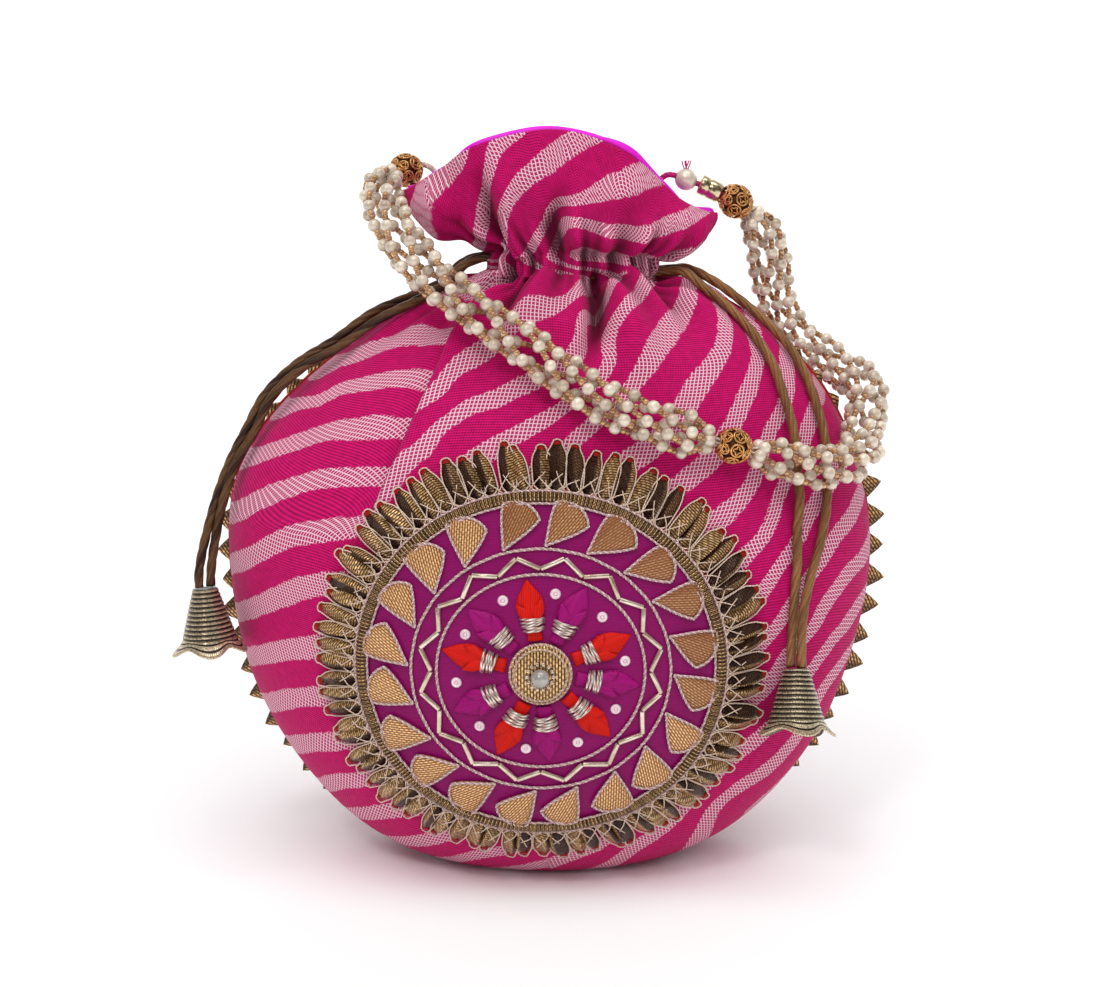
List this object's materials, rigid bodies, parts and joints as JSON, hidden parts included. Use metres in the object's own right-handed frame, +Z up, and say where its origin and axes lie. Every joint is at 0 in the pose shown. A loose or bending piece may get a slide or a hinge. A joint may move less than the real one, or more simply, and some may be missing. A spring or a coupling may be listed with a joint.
{
  "type": "potli bag",
  "caption": "Round gathered drawstring pouch of striped cloth with an embroidered roundel, pointed gold seam trim, bell tassels and a twisted pearl-strand handle.",
  "frame": {"origin": "on the flat base that the bag stands on, below the middle of its width", "axes": "+Z up, -Y to the embroidered front, +X to the right seen from the front"},
  "size_m": [0.2211, 0.113, 0.2303],
  "materials": {
    "striped_cloth": "woven check cloth, dye striped magenta and pale pink",
    "lining_satin": "bright magenta satin",
    "roundel_satin": "purple magenta satin with a soft sheen",
    "gold_ribbon": "woven metallic gold ribbon",
    "silver_thread": "twisted pale metallic cord",
    "bugle_glass": "silver lined glass",
    "seed_glass": "silver lined seed beads",
    "pearl": "pearl lacquer",
    "gold_cord": "braided metallic gold brown cord",
    "tassel_gold": "ribbed antique gold",
    "filigree_gold": "pierced rose gold",
    "polished_gold": "polished pale gold",
    "magenta_ribbon": "ribbed ribbon",
    "red_ribbon": "ribbed ribbon"
  },
  "bodies": {
    "root": {"front_panel": "striped_cloth", "back_panel": "striped_cloth", "lining": "lining_satin", "seam_trim": "gold_ribbon", "roundel_disc": "roundel_satin", "roundel_frill": "gold_ribbon", "roundel_braid": "gold_ribbon", "vine_cord": "silver_thread", "inner_cord": "silver_thread", "bugle_beads": "bugle_glass", "centre_button": "gold_ribbon", "seed_ring": "seed_glass", "centre_pearl": "pearl", "drawstring_left": "gold_cord", "drawstring_right": "gold_cord", "tassel_left": "tassel_gold", "tassel_right": "tassel_gold", "ball_right": "filigree_gold", "ball_middle": "filigree_gold", "ball_left": "filigree_gold", "end_pearl_right": "pearl", "end_tube_right": "polished_gold", "end_core_right": "gold_cord", "end_core_left": "gold_cord", "leaf_1": "gold_ribbon", "leaf_2": "gold_ribbon", "leaf_3": "gold_ribbon", "leaf_4": "gold_ribbon", "leaf_5": "gold_ribbon", "leaf_6": "gold_ribbon", "leaf_7": "gold_ribbon", "leaf_8": "gold_ribbon", "leaf_9": "gold_ribbon", "leaf_10": "gold_ribbon", "leaf_11": "gold_ribbon", "leaf_12": "gold_ribbon", "leaf_13": "gold_ribbon", "leaf_14": "gold_ribbon", "leaf_15": "gold_ribbon", "leaf_16": "gold_ribbon", "leaf_17": "gold_ribbon", "leaf_18": "gold_ribbon", "leaf_19": "gold_ribbon", "leaf_20": "gold_ribbon", "petal_1": "red_ribbon", "petal_2": "magenta_ribbon", "petal_3": "red_ribbon", "petal_4": "magenta_ribbon", "petal_5": "red_ribbon", "petal_6": "magenta_ribbon", "petal_7": "red_ribbon", "petal_8": "magenta_ribbon", "petal_9": "red_ribbon", "petal_10": "magenta_ribbon", "pearl_strand_1": "pearl", "pearl_strand_2": "pearl", "pearl_strand_3": "pearl", "pearl_strand_4": "pearl", "pearl_strand_5": "pearl", "pearl_strand_6": "pearl"}
  },
  "joints": []
}
